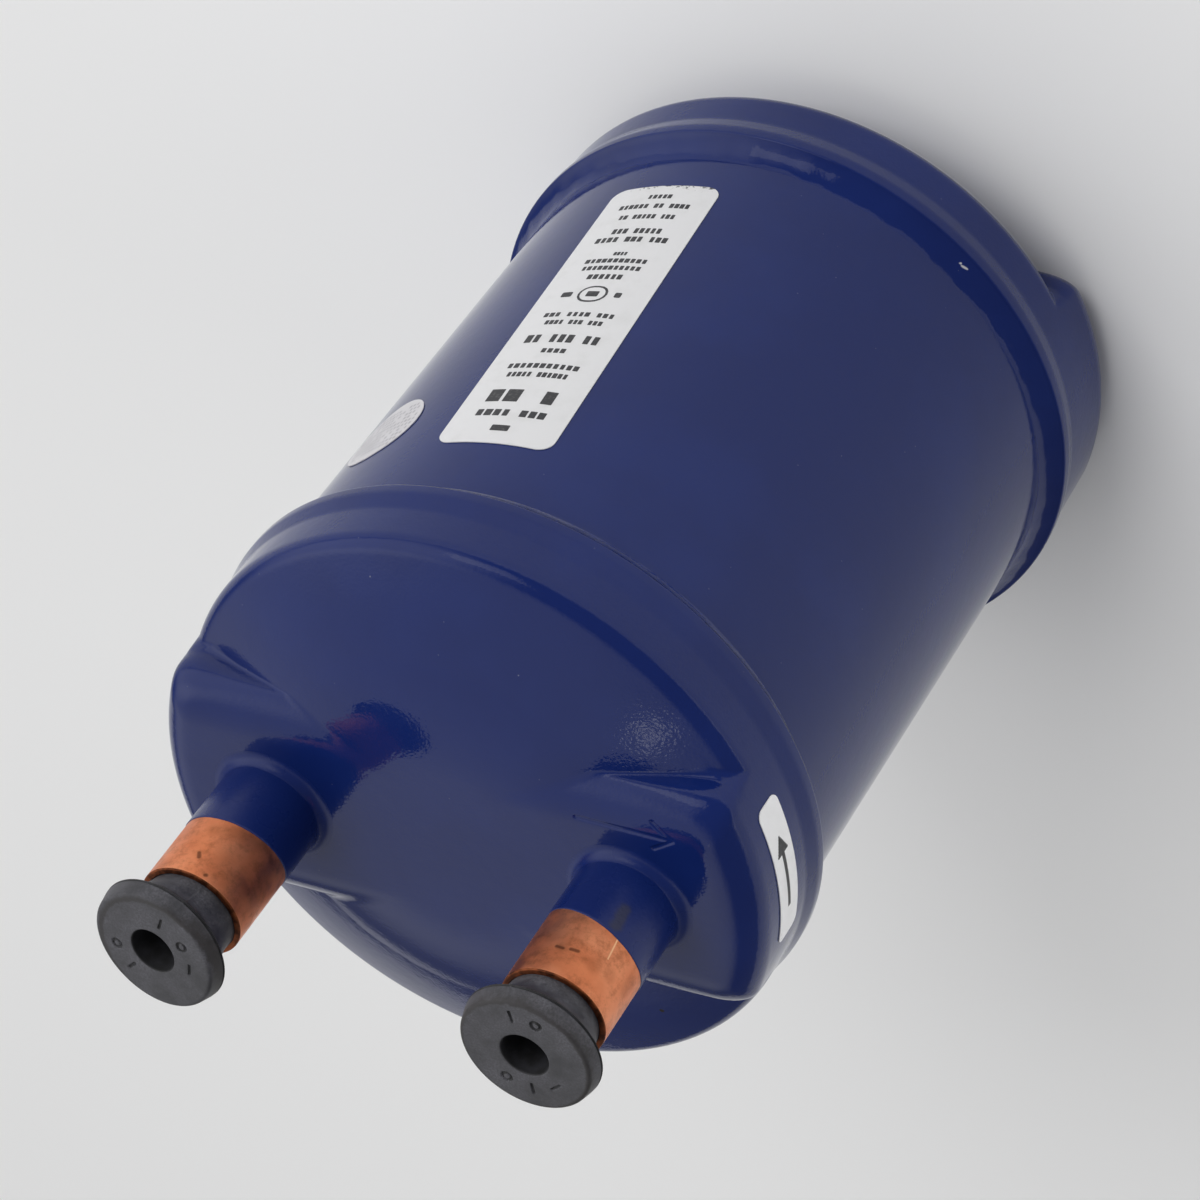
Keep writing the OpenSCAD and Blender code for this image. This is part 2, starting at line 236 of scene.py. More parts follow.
def with_block(faces, turns, block, fine, count):
    """Faces with a block of rows and columns replaced by a finer grid, and the grid's new points.

    The faces beside the block take the new points of the edge that they share with it.
    """
    i0, i1, j0, j1 = block
    n, m = fine.shape[:2]
    cuts = (n - 1) // (i1 - i0)
    kept = np.zeros((n, m), bool)
    kept[::cuts, ::cuts] = True
    at = np.empty((n, m), int)
    at[kept] = (np.arange(i0, i1 + 1)[:, None] * turns + np.arange(j0, j1 + 1)).ravel()
    at[~kept] = count + np.arange((~kept).sum())
    gone = set()
    new = np.stack((at[:-1, :-1], at[:-1, 1:], at[1:, 1:], at[1:, :-1]), axis=2)
    new = new.reshape(-1, 4).tolist()
    for i in range(i0, i1):
        gone.update(range(i * turns + j0 - 1, i * turns + j1 + 1))
        left, right = i * turns + j0 - 1, i * turns + j1 + 1
        run = slice((i - i0) * cuts, (i - i0 + 1) * cuts + 1)
        new += fan(left + turns, left, *at[run, 0].tolist())
        new += fan(right, right + turns, *at[run, -1][::-1].tolist())
    for j in range(j0, j1):
        above, below = (i0 - 1) * turns + j, (i1 + 1) * turns + j
        gone.update((above, i1 * turns + j))
        run = slice((j - j0) * cuts, (j - j0 + 1) * cuts + 1)
        new += fan(above, above + 1, *at[0, run][::-1].tolist())
        new += fan(below + 1, below, *at[-1, run].tolist())
    return [f for k, f in enumerate(faces) if k not in gone] + new, fine[~kept]


SHARP_DEG = 38


def soften(mesh):
    """Smooth faces, with folds left sharp."""
    mesh.shade_smooth()
    mesh.set_sharp_from_angle(angle=math.radians(SHARP_DEG))
    mesh.update()


def add(name, data):
    """A new object of the scene."""
    made = bpy.data.objects.new(name, data)
    bpy.context.scene.collection.objects.link(made)
    return made


def mesh_piece(name, points, faces, kinds):
    """An object in the frame's place, in metres."""
    mesh = bpy.data.meshes.new(name)
    mesh.from_pydata((np.asarray(points) * MM).tolist(), [], faces)
    mesh.polygons.foreach_set("material_index", np.array(kinds, np.int32))
    soften(mesh)
    return add(name, mesh)


def drill(piece, x, radius, low, high):
    """Cuts an upright round hole through a piece."""
    wall = turned(path((radius, low), (radius, high)), even_turn(STUB_TURNS)) + (x, 0, 0)
    cutter = skin("cutter", wall)
    cut = piece.modifiers.new("hole", "BOOLEAN")
    cut.object = cutter
    cut.operation = "DIFFERENCE"
    cut.solver = "EXACT"
    shown = piece.evaluated_get(bpy.context.evaluated_depsgraph_get())
    drilled = bpy.data.meshes.new_from_object(shown)
    piece.modifiers.clear()
    piece.data = drilled
    drilled.materials.clear()
    soften(drilled)
    bpy.data.objects.remove(cutter)


def dress(piece, node, slot, *materials):
    """Gives a new piece its materials and its body, and hides the CAD node that it stands for."""
    for m in materials:
        piece.data.materials.append(m)
    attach(piece, BODY)
    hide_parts(node)


# Shader nodes

# Full share of a speck's radius, softness of the choice of specks, and size of a stroke's unevenness
SPECK_CORE = 0.6
PICK_SOFT = 0.02
RAGGED_BLOT = 1.2


class Nodes:
    """A node tree, written in a short way. Lengths are in millimetres."""

    def __init__(self, tree):
        self.tree = tree

    def feed(self, socket, value):
        """Links a socket to another, or sets its value."""
        if isinstance(value, bpy.types.NodeSocket):
            self.tree.links.new(value, socket)
        else:
            socket.default_value = value

    def node(self, kind, inputs=(), **settings):
        made = self.tree.nodes.new("ShaderNode" + kind)
        for key, value in settings.items():
            setattr(made, key, value)
        for key, value in dict(inputs).items():
            self.feed(made.inputs[key], value)
        return made

    def math(self, operation, a, b=0.0):
        return self.node("Math", {0: a, 1: b}, operation=operation).outputs[0]

    def vector(self, operation, a, b=(0, 0, 0)):
        return self.node("VectorMath", {0: a, 1: b}, operation=operation).outputs

    def scale(self, vector, by):
        return self.node("VectorMath", {0: vector, "Scale": by}, operation="SCALE").outputs[0]

    def step(self, value, low, high, out_low=0.0, out_high=1.0):
        """A smooth step of a value between two levels."""
        made = self.node("MapRange", {"Value": value, "From Min": low, "From Max": high,
                                      "To Min": out_low, "To Max": out_high},
                         interpolation_type="SMOOTHSTEP")
        return made.outputs["Result"]

    def most(self, values):
        """The greatest of several values."""
        found = values[0]
        for value in values[1:]:
            found = self.math("MAXIMUM", found, value)
        return found


class Look(Nodes):
    """A material of shader nodes."""

    def __init__(self, name):
        self.material = bpy.data.materials.new(name)
        self.material.use_nodes = True
        super().__init__(self.material.node_tree)
        self.shader = self.tree.nodes["Principled BSDF"]
        self.place = self.scale(self.node("TexCoord").outputs["Object"], 1 / MM)

    def set(self, **values):
        """Feeds the shader's inputs, and gives the material."""
        for key, value in values.items():
            self.feed(self.shader.inputs[key.replace("_", " ")], value)
        return self.material

    def noise(self, size, detail=2.0, rough=0.5, place=None):
        """Soft noise whose blots are about a size across."""
        made = self.node("TexNoise", {"Vector": place or self.place, "Scale": 1 / size,
                                      "Detail": detail, "Roughness": rough})
        return made.outputs["Fac"]

    def stretch(self, x, y, z):
        """The place in the piece, stretched along its axes."""
        return self.vector("MULTIPLY", self.place, (x, y, z))[0]

    def mix(self, share, a, b):
        """A colour between two, by a share."""
        made = self.node("Mix", data_type="RGBA")
        colours = [s for s in made.inputs if s.type == "RGBA"]
        self.feed(made.inputs[0], share)
        for socket, value in zip(colours, (a, b)):
            self.feed(socket, value if isinstance(value, bpy.types.NodeSocket) else (*value, 1.0))
        return [s for s in made.outputs if s.type == "RGBA"][0]

    def bump(self, height, depth, normal=None):
        made = self.node("Bump", {"Height": height, "Distance": depth * MM})
        if normal is not None:
            self.feed(made.inputs["Normal"], normal)
        return made.outputs["Normal"]

    def specks(self, apart, radius, share):
        """Small dots, one in a share of the cells of a loose grid."""
        cells = self.node("TexVoronoi", {"Vector": self.place, "Scale": 1 / apart}).outputs
        picked = self.node("SeparateColor", {"Color": cells["Color"]}).outputs[0]
        size = radius / apart
        near = self.step(cells["Distance"], SPECK_CORE * size, size, 1.0, 0.0)
        return self.math("MULTIPLY", near, self.step(picked, 1 - share, 1 - share + PICK_SOFT))

    def stroke(self, first, last, radius, soft, ragged=0.0):
        """1 along a line between two points, fading beyond a radius."""
        first, way = np.array(first, float), np.array(last, float) - np.array(first, float)
        start = self.vector("SUBTRACT", self.place, first)[0]
        share = self.vector("DOT_PRODUCT", start, way / max(way @ way, 1e-6))["Value"]
        share = self.node("Clamp", {"Value": share}).outputs[0]
        off = self.vector("DISTANCE", start, self.scale(way, share))["Value"]
        if ragged:
            edge = self.math("MULTIPLY", self.noise(RAGGED_BLOT, 4, 0.65), ragged)
            off = self.math("ADD", off, edge)
        return self.step(off, radius + ragged / 2, radius + ragged / 2 + soft, 1.0, 0.0)


def marked(look, colour, lines, size, share, tone):
    """A colour with marks of a tone along lines. A size is what a stroke takes."""
    found = look.most([look.stroke(first, last, *size) for first, last in lines])
    return look.mix(look.math("MULTIPLY", found, share), colour, tone)


def two_tone(name, tones, blots, rough, grain=None, metal=0.0):
    """A material of two tones in soft blots. Blots and grain start with a noise's size and detail."""
    look = Look(name)
    colour = look.mix(look.step(look.noise(*blots[:2]), *blots[2:]), *tones)
    if grain is not None:
        look.set(Normal=look.bump(look.noise(*grain[:2]), grain[2]))
    return look.set(Base_Color=colour, Roughness=rough, Metallic=metal)


# Paint

NAVY = (0.0048, 0.0145, 0.1)
NAVY_PALE = (0.0062, 0.0178, 0.116)
CHIP = (0.42, 0.42, 0.45)
SPECK = (0.16, 0.17, 0.24)
BARE_DARK = (0.012, 0.01, 0.012)
SMEAR = (0.045, 0.04, 0.016)
SMEAR_SHARE = 0.45
# Dust in the paint: distance apart, radius, share of places that hold a speck and its strength
DUST = ((9.0, 0.17, 0.4, 0.8), (3.2, 0.13, 0.5, 0.4))
# The skin of the paint: a fine orange peel on a wider wave
PEEL = 0.55
PEEL_DEPTH = 0.022
WAVE = 2.6
WAVE_DEPTH = 0.03
NAVY_BLOT = 26
GLOSS_BLOT = 9
ENAMEL_ROUGH = 0.06, 0.11
ENAMEL_IOR = 1.38


def enamel(name, peel=1.0, dull=0.0, marks=None):
    """Gloss navy enamel with an orange-peel skin. The marks are their lines, size, share and tone."""
    look = Look(name)
    colour = look.mix(look.step(look.noise(NAVY_BLOT, 3), 0.35, 0.7), NAVY, NAVY_PALE)
    for apart, radius, share, strength in DUST:
        dust = look.math("MULTIPLY", look.specks(apart, radius, share), strength)
        colour = look.mix(dust, colour, SPECK)
    least, most = ENAMEL_ROUGH
    rough = look.step(look.noise(GLOSS_BLOT, 4), 0.3, 0.75, least + dull, most + dull)
    normal = look.bump(look.noise(WAVE, 1), WAVE_DEPTH * peel)
    normal = look.bump(look.noise(PEEL, 1), PEEL_DEPTH * peel, normal)
    if marks is not None:
        colour = marked(look, colour, *marks)
    return look.set(Base_Color=colour, Roughness=rough, Normal=normal, IOR=ENAMEL_IOR)


# Copper

COPPER = (0.74, 0.245, 0.11)
COPPER_PALE = (0.84, 0.32, 0.16)
COPPER_DARK = (0.38, 0.12, 0.05)
COPPER_BROWN = (0.12, 0.042, 0.022)
COPPER_BRIGHT = (0.95, 0.55, 0.3)
COPPER_ROUGH = 0.36, 0.5
# The connections' end faces, brown with heat and darkened further with painted shade where the plugs
# shade them
TARNISH_AND_SHADE = COPPER_BROWN, COPPER_DARK
TARNISH_BLOTS = 1.5, 4, 0.35, 0.7
TARNISH_GRAIN = 0.5, 3, 0.01
TARNISH_ROUGH = 0.6
DRAWN_DEPTH = 0.01
GRAIN_DEPTH = 0.006
MOTTLE_SHARE = 0.62
STAIN_SHARE = 0.3
PIT_SHARE = 0.75
# Radius, softness and unevenness of the marks
PIT = 0.16, 0.3, 0.4
STAIN = 0.5, 1.3, 1.0
SCRATCH = 0.07, 0.1


def on_stub(x, lines):
    """Lines on a connection, from the angles and the heights over the cap's face of their ends."""
    def point(deg, up):
        a = math.radians(deg)
        return x + STUB_R * math.cos(a), STUB_R * math.sin(a), FACE_Z + up

    return [[point(*end) for end in line] for line in lines]


def copper(name, x, pits, stains, scratches):
    """Drawn copper, dulled and stained by handling and heat."""
    look = Look(name)
    drawn = look.noise(1.4, 3, place=look.stretch(1, 1, 0.08))
    colour = look.mix(look.step(look.noise(7, 4), 0.38, 0.66), COPPER, COPPER_PALE)
    mottle = look.step(look.noise(2.4, 6, 0.75), 0.42, 0.72, 0.0, MOTTLE_SHARE)
    colour = look.mix(mottle, colour, COPPER_DARK)
    for lines, size, share, tone in ((stains, STAIN, STAIN_SHARE, COPPER_DARK),
                                     (pits, PIT, PIT_SHARE, COPPER_BROWN),
                                     (scratches, SCRATCH, 1.0, COPPER_BRIGHT)):
        if lines:
            colour = marked(look, colour, on_stub(x, lines), size, share, tone)
    rough = look.step(look.noise(3, 4), 0.3, 0.7, *COPPER_ROUGH)
    normal = look.bump(drawn, DRAWN_DEPTH)
    normal = look.bump(look.noise(0.6, 3), GRAIN_DEPTH, normal)
    return look.set(Base_Color=colour, Roughness=rough, Normal=normal, Metallic=1.0)


# Rubber

RUBBER = (0.026, 0.026, 0.031)
RUBBER_DUST = (0.108, 0.106, 0.121)
# Darker than the bare rubber: painted shade for the plug's hollows
RUBBER_SHADED = (0.014, 0.014, 0.015)
RUBBER_SOIL = (0.02, 0.017, 0.016)
RUBBER_ROUGH = 0.5, 0.8
RUBBER_GRAIN = 0.4, 4, 0.03
# Rubber in the hollows of a plug, where no dust lies, and darker than bare rubber with painted shade
HOLLOW = RUBBER_SHADED, RUBBER
HOLLOW_BLOTS = 2, 3, 0.35, 0.75
HOLLOW_ROUGH = 0.62
# The soiled edge of the head: where it starts and ends past the face's radius, and how uneven it is
SOIL_START = -0.1, 0.3
SOIL_END = 0.6, 1.3
SOIL_RAGGED = 1.4
SOIL_SHARE = 0.7


def rubber(name, soil_x):
    """Black moulded rubber under a film of dust, soiled at the edge of the head."""
    look = Look(name)
    film_share = look.step(look.noise(5.5, 5, 0.6), 0.28, 0.7)
    grain = look.step(look.noise(0.35, 3), 0.32, 0.7, 0.3, 1.0)
    dust = look.math("MULTIPLY", film_share, grain)
    colour = look.mix(dust, RUBBER, RUBBER_DUST)
    out = look.vector("DISTANCE", look.stretch(1, 1, 0), (soil_x, 0, 0))["Value"]
    ragged = look.math("ADD", out, look.math("MULTIPLY", look.noise(2, 5, 0.7), SOIL_RAGGED))
    past = look.math("SUBTRACT", ragged, PLUG_FACE_R)
    edge = look.math("MULTIPLY", look.step(past, *SOIL_START), look.step(past, *SOIL_END, 1.0, 0.0))
    colour = look.mix(look.math("MULTIPLY", edge, SOIL_SHARE), colour, RUBBER_SOIL)
    normal = look.bump(look.noise(*RUBBER_GRAIN[:2]), RUBBER_GRAIN[2])
    rough = look.step(dust, 0.0, 1.0, *RUBBER_ROUGH)
    return look.set(Base_Color=colour, Roughness=rough, Normal=normal)


# Paper, ink and bare metal

# Two tones of each, then blots as a noise's size and detail and its steps, and roughness
LABEL_PAPER = (0.68, 0.68, 0.69), (0.6, 0.6, 0.6)
# The tag's paper is whiter than the rating label's: painted light for the dimmer place where the tag
# stands
TAG_PAPER_LIT = (0.9, 0.9, 0.91), (0.8, 0.8, 0.8)
STICKER_PAPER = (0.56, 0.55, 0.57), (0.66, 0.66, 0.68)
LABEL_INK = (0.02, 0.02, 0.024), (0.12, 0.12, 0.12)
STICKER_INK = (0.36, 0.35, 0.38), (0.5, 0.5, 0.51)
STEEL = (0.4, 0.41, 0.42), (0.58, 0.59, 0.6)
FILLER = (0.5, 0.36, 0.14), (0.66, 0.5, 0.22)
PAPER_ROUGH = 0.4, 0.52
PAPER_DEPTH = 0.008
INK_WEAR = 0.5, 3, 0.5, 0.8, 0.0, 0.6
INK_ROUGH = 0.45
METAL_BLOTS = 6, 4, 0.35, 0.7
METAL_GRAIN = 1.2, 4, 0.01
STEEL_ROUGH = 0.38
FILLER_ROUGH = 0.35
SCUFF = (0.03, 0.03, 0.035)
SCUFF_W = 2.0
SCUFF_PULL = 0.12


def scuffs(look, low):
    """Dark scuffs along the end of a label, over a height."""
    height = look.node("SeparateXYZ", {"Vector": look.place}).outputs[2]
    near = look.step(height, low, low + SCUFF_W, 1.0, 0.0)
    grain = look.math("ADD", look.noise(0.8, 4, 0.7), look.math("MULTIPLY", near, SCUFF_PULL))
    return look.math("MULTIPLY", look.step(grain, 0.64, 0.68), look.step(near, 0.02, 0.2))


def paper(name, colour, shade, scuffed_from=None):
    """Coated label stock, a little soiled."""
    look = Look(name)
    tone = look.mix(look.step(look.noise(4, 5, 0.6), 0.45, 0.8, 0.0, 0.6), colour, shade)
    if scuffed_from is not None:
        tone = look.mix(scuffs(look, scuffed_from), tone, SCUFF)
    rough = look.step(look.noise(2, 3), 0.3, 0.7, *PAPER_ROUGH)
    normal = look.bump(look.noise(1.5, 3), PAPER_DEPTH)
    return look.set(Base_Color=tone, Roughness=rough, Normal=normal)


# Caps

FINE_STEP = 0.05


def smooth_min(a, b, soft):
    """The lesser of two, rounded where they are near each other."""
    soft = np.maximum(soft, 1e-6)
    near = np.maximum(soft - np.abs(a - b), 0) / soft
    return np.minimum(a, b) - near ** 2 * soft / 4


def reach(outline, angles):
    """How far rays from the middle of the narrowing go to an outline of the dome."""
    fine = dense(outline, FINE_STEP) - (0, JOGGLE_TOP)
    turn = np.arctan2(fine[:, 1], fine[:, 0])
    order = np.argsort(turn)
    return np.interp(angles, turn[order], np.hypot(fine[:, 0], fine[:, 1])[order])


def eased(outline, length):
    """The same outline with its corners rounded over a length."""
    fine = dense(outline, FINE_STEP)
    half = int(length / FINE_STEP / 2)
    held = np.pad(fine, ((half, half), (0, 0)), "reflect", reflect_type="odd")
    sums = np.cumsum(np.vstack((np.zeros((1, 2)), held)), axis=0)
    return (sums[2 * half + 1:] - sums[:-2 * half - 1]) / (2 * half + 1)


def slope_outline(inset):
    """Half section of a cap that is pressed down all round."""
    lean = math.radians(SLOPE_DEG)
    rim_x = SIDE_R - SLOPE_RIM_R
    fall = (rim_x - SLOPE_START_R) * math.tan(lean)
    rim_c = (rim_x, CAP_H - fall - SLOPE_RIM_R / math.cos(lean))
    blend_c = (SLOPE_START_R - SLOPE_BLEND_R * math.tan(lean / 2), CAP_H - SLOPE_BLEND_R)
    rim = arc(rim_c, SLOPE_RIM_R - inset, 0, 90 - SLOPE_DEG, 40)
    blend = arc(blend_c, SLOPE_BLEND_R - inset, 90 - SLOPE_DEG, 90, 40)
    crown_r = np.hypot(*(rim[-1] - blend[0])) ** 2 / (8 * SLOPE_CROWN)
    crown = arc_between(blend[0], rim[-1], crown_r, 12)[-2:0:-1]
    return path((SIDE_R - inset, JOGGLE_TOP), rim, crown, blend, (0, CAP_H - inset))


def raised_outline(inset):
    """Half section of a cap that is raised all round."""
    rim_c = (SIDE_R - RIM_R, CAP_H - RIM_R)
    rim = arc(rim_c, RIM_R - inset, 0, 90, 60)
    return path((SIDE_R - inset, JOGGLE_TOP), rim, (0, CAP_H - inset))


def band_outline(inset, turn_deg):
    """Half of the raised band's cross section, by how far its rounding turns down."""
    turn, steep = math.radians(turn_deg), math.radians(BAND_DEG)
    edge_c = (BAND_W / 2 - BAND_EDGE_R * math.sin(turn), CAP_H - BAND_EDGE_R)
    radius = BAND_EDGE_R - inset
    rest = math.degrees(math.asin((BAND_EDGE_R * math.cos(steep - turn) - inset) / radius))
    edge = arc(edge_c, radius, 180 - BAND_DEG - rest, 90, 60)
    foot_x = edge[0][0] + (edge[0][1] - JOGGLE_TOP) / math.tan(steep)
    return eased(path((foot_x, JOGGLE_TOP), edge, (0, CAP_H - inset)), BAND_EASE)


# Columns of the dome's mesh in a quarter turn, crowded at the fold beside the band
BAND_COLUMNS = 28
SLOPE_COLUMNS = 34
FOLD_OFFSETS = np.concatenate((np.linspace(-3.0, -1.1, 9), np.linspace(-1.0, 0.3, 27),
                               np.linspace(0.45, 1.8, 8)))
FOLD_LEAST_R = 20.0
FOLD_LEAST_LIFT = 0.02
FOLD_SEARCH = 2000
# A rough half section that spaces the rows, over the face and then over the rim and down the side
GUIDE_KNEE = (SIDE_R - 8, CAP_H - 2)
GUIDE_FACE = path((0.5, CAP_H), GUIDE_KNEE)
GUIDE_RIM = path(GUIDE_KNEE, (SIDE_R - 1.5, CAP_H - 5), (SIDE_R, CAP_H - 10), (SIDE_R, SIDE_Z))
# Steps between rows over the face and over the rim, outside and inside
OUTER_STEPS = 1.0, 0.38
INNER_STEPS = 3.0, 1.2


def to_band(bands, up, turn):
    """How far rays go to the band, by their height angle and their angle round."""
    across = np.cos(up) * np.abs(np.sin(turn))
    lean = np.arctan2(np.sin(up), across)
    found = np.vstack([reach(band, row) for band, row in zip(bands, lean)])
    return found / np.hypot(across, np.sin(up))


def dome_angles(up, on_slope, bands):
    """Angles round the dome for each row, with columns that follow the fold beside the band."""
    quarter = np.linspace(0, np.pi / 2, FOLD_SEARCH)[None, :]
    above = to_band(bands, up, quarter) - on_slope > FOLD_LEAST_LIFT
    fold = quarter[0][np.maximum(above.sum(axis=1) - 1, 0)]
    rows = np.arange(len(fold))
    folded = above.any(axis=1)
    fold = np.interp(rows, rows[folded], fold[folded])[:, None]
    near = fold + FOLD_OFFSETS / np.maximum(on_slope * np.cos(up), FOLD_LEAST_R)
    share = np.arange(BAND_COLUMNS) / BAND_COLUMNS
    rest = np.arange(1, SLOPE_COLUMNS + 1) / SLOPE_COLUMNS
    q = np.hstack((near[:, :1] * share, near, near[:, -1:] + (np.pi / 2 - near[:, -1:]) * rest))
    back = q[:, :0:-1]
    return np.hstack((q[:, :-1], np.pi - back, np.pi + q[:, :-1], 2 * np.pi - back))


def dome_rows(inset, flat_step, rim_step):
    """Rows of the domed end of a cap, mouth on z = 0: slopes all round and a raised band across."""
    guide = path(dense(GUIDE_FACE, flat_step), dense(GUIDE_RIM, rim_step)[1:])
    up = np.arctan2(guide[:, 1] - JOGGLE_TOP, guide[:, 0])[:, None]
    on_slope, on_raised = reach(slope_outline(inset), up), reach(raised_outline(inset), up)
    plan_r = on_slope * np.cos(up)
    near_rim = np.clip((plan_r - TURN_START_R) / (TURN_END_R - TURN_START_R), 0, 1) ** 2
    turns_down = BAND_TURN + (RIM_TURN - BAND_TURN) * near_rim[:, 0]
    bands = [band_outline(inset, deg) for deg in turns_down]
    turn = dome_angles(up, on_slope, bands)
    on_band = to_band(bands, up, turn)
    on_top = (CAP_H - inset - JOGGLE_TOP) / np.sin(up)
    lift = np.maximum(on_raised - on_slope, 0)
    under = np.maximum(on_top - np.maximum(on_raised, on_band), 0)
    corner = CORNER_SOFT * (1 - np.exp(-2 * under / CORNER_SOFT))
    carried = smooth_min(on_raised, on_band, corner)
    crease = CREASE_SOFT + (RIM_CREASE_SOFT - CREASE_SOFT) * near_rim ** 3
    out = -smooth_min(-on_slope, -carried, np.minimum(crease * lift / (lift + 1), lift))
    flat = np.cos(up)
    ray = np.stack((flat * np.cos(turn), flat * np.sin(turn), np.sin(up) + 0 * turn), axis=2)
    return ray * out[..., None] + (0, 0, JOGGLE_TOP), turn


def cap_rows():
    """All rows of a cap, from the middle of its face down to its mouth and back up inside."""
    outside, turn = dome_rows(0, *OUTER_STEPS)
    inside, inner_turn = dome_rows(CAP_WALL, *INNER_STEPS)
    out_c = (BELL_R - JOGGLE_R, BELL_LEN - JOGGLE_REACH)
    in_c = (SIDE_R + JOGGLE_R, SIDE_Z)
    mouth = path(arc(in_c, JOGGLE_R, 180, 180 + JOGGLE_TURN, 10)[1:],
                 arc(out_c, JOGGLE_R, JOGGLE_TURN, 0, 10),
                 arc((BELL_R - MOUTH_EDGE_R, MOUTH_EDGE_R), MOUTH_EDGE_R, 0, -90, 8))
    seat_r = SHELL_R + SLIP
    seat = path((seat_r, 0), (seat_r, MOUTH_DEPTH), (SIDE_R - CAP_WALL, MOUTH_DEPTH))
    return np.vstack((outside, turned(mouth, turn[-1]), turned(seat, inner_turn[-1]), inside[::-1]))


# An arrow stamped in the upper cap beside the inlet, pointing to the rim
STAMP_Y = 14.8
STAMP_TAIL, STAMP_TIP = (24.5, STAMP_Y), (41.0, STAMP_Y)
STAMP_BARBS = (37.6, STAMP_Y + 2.4), (37.6, STAMP_Y - 2.4)
STAMP_DEPTH = 0.2
STAMP_HALF = 0.2
STAMP_SOFT = 0.3
STAMP_MARGIN = 1.7
STAMP_CUTS = 6


def closer(points, cuts):
    """A run of points with each step cut on a smooth curve. The first and last step only guide it."""
    before, first, last, after = points[:-3], points[1:-2], points[2:-1], points[3:]
    bend = 2 * before - 5 * first + 4 * last - after
    twist = 3 * (first - last) + after - before
    parts = [first + t / 2 * (last - before + t * (bend + t * twist)) for t in np.arange(cuts) / cuts]
    return np.concatenate((np.stack(parts, axis=1).reshape(-1, *points.shape[1:]), points[-2:-1]))


def off_stamp(points):
    """Distance of points from the stamped arrow's lines, seen from above."""
    lines = [(STAMP_TAIL, STAMP_TIP)] + [(STAMP_TIP, barb) for barb in STAMP_BARBS]
    return np.min([to_segment(points[..., 0], points[..., 1], *line) for line in lines], axis=0)


def stamped(rows):
    """The upper cap's rows with the arrow pressed in, and the finer part that holds it."""
    i, j = np.nonzero((off_stamp(rows) < STAMP_MARGIN) & (rows[..., 2] > FACE_Z - CAP_WALL / 2))
    i0, i1, j0, j1 = i.min(), i.max(), j.min(), j.max()
    fine = closer(rows[i0 - 1:i1 + 2, j0 - 1:j1 + 2], STAMP_CUTS)
    fine = closer(fine.swapaxes(0, 1), STAMP_CUTS).swapaxes(0, 1)
    sunk = np.clip((STAMP_HALF + STAMP_SOFT - off_stamp(fine)) / STAMP_SOFT, 0, 1)
    fine[..., 2] -= STAMP_DEPTH * sunk ** 2 * (3 - 2 * sunk)
    rows[i0:i1 + 1, j0:j1 + 1] = fine[::STAMP_CUTS, ::STAMP_CUTS]
    return rows, ((i0, i1, j0, j1), fine)


def build_caps(look_top, look_bottom):
    """Both caps: the upper one stamped and drilled, the lower one plain and upside down."""
    rows = cap_rows()
    pressed, finer_part = stamped(rows[::-1] + (0, 0, MOUTH_Z))
    top = skin("top_cap_dressed", pressed, finer_part=finer_part)
    for x in (-STUB_X, STUB_X):
        drill(top, x, STUB_R + SLIP, FACE_Z - 2 * CAP_WALL, FACE_Z + CAP_WALL)
    dress(top, "top_cap", "enamel", look_top)
    turned_over = rows * (1, 1, -1) + (0, 0, node_box("bottom_cap")[1][2])
    bottom = skin("bottom_cap_dressed", turned_over)
    dress(bottom, "bottom_cap", "enamel", look_bottom)


# Shell, welds and brazed rings

SHELL_STEP = 4.0
# Height of the uneven swelling of a bead, and how many swellings go round
WELD_RIPPLE = 0.3
BOTTOM_WELD_WAVES = (9, 14, 23, 37, 61)
TOP_WELD_WAVES = (8, 13, 21, 41, 67)
BRAZE_RIPPLE = 0.2
BRAZE_WAVES = (2, 3, 5, 8)


def build_shell(look):
    """The rolled tube between the caps."""
    z0, z1 = SHELL_LOW[2], SHELL_HIGH[2]
    inner = SHELL_R - SHELL_WALL
    outline = dense(path((inner, z1), (inner, z0), (SHELL_R, z0), (SHELL_R, z1)), SHELL_STEP)
    rows = turned(outline, even_turn(SHELL_TURNS))
    dress(skin("shell_dressed", rows, ring=True), "shell", "enamel", look)


def fillet_outline(wall_r, leg_out, leg_up, hollow_r):
    """Outline of a hollow fillet that stands on z = 0, round an upright wall."""
    hollow = arc_between((wall_r + leg_out, 0), (wall_r, leg_up), hollow_r, 16)
    return path((wall_r, 0), hollow)


def ripple(rows, depth, waves, seed):
    """Uneven swelling of rows of points, as of a bead that was laid by hand."""
    rng = np.random.default_rng(seed)
    a = np.arctan2(rows[..., 1], rows[..., 0])
    swell = sum(rng.uniform(0.4, 1) * np.sin(k * a + rng.uniform(0, 2 * np.pi))
                for k in waves) / len(waves)
    free = rows.shape[0] - 3
    share = np.zeros(rows.shape[0])
    share[2:-1] = np.sin(np.pi * (np.arange(free) + 0.5) / free)
    return swollen(rows, depth * swell * share[:, None])


def build_welds(look):
    """The welds between the shell and the mouths of the caps."""
    outline = fillet_outline(SHELL_R, BELL_R - SHELL_R - WELD_BARE, WELD_LEG, WELD_HOLLOW_R)
    rows = turned(outline, even_turn(SHELL_TURNS))
    bottom = ripple(rows, WELD_RIPPLE, BOTTOM_WELD_WAVES, seed=3)
    top = ripple(rows, WELD_RIPPLE, TOP_WELD_WAVES, seed=5)[::-1] * (1, 1, -1)
    for node, bead, z in (("bottom_weld", bottom, node_box("bottom_weld")[0][2]),
                          ("top_weld", top, MOUTH_Z)):
        dress(skin(node + "_dressed", bead + (0, 0, z), ring=True), node, "enamel", look)


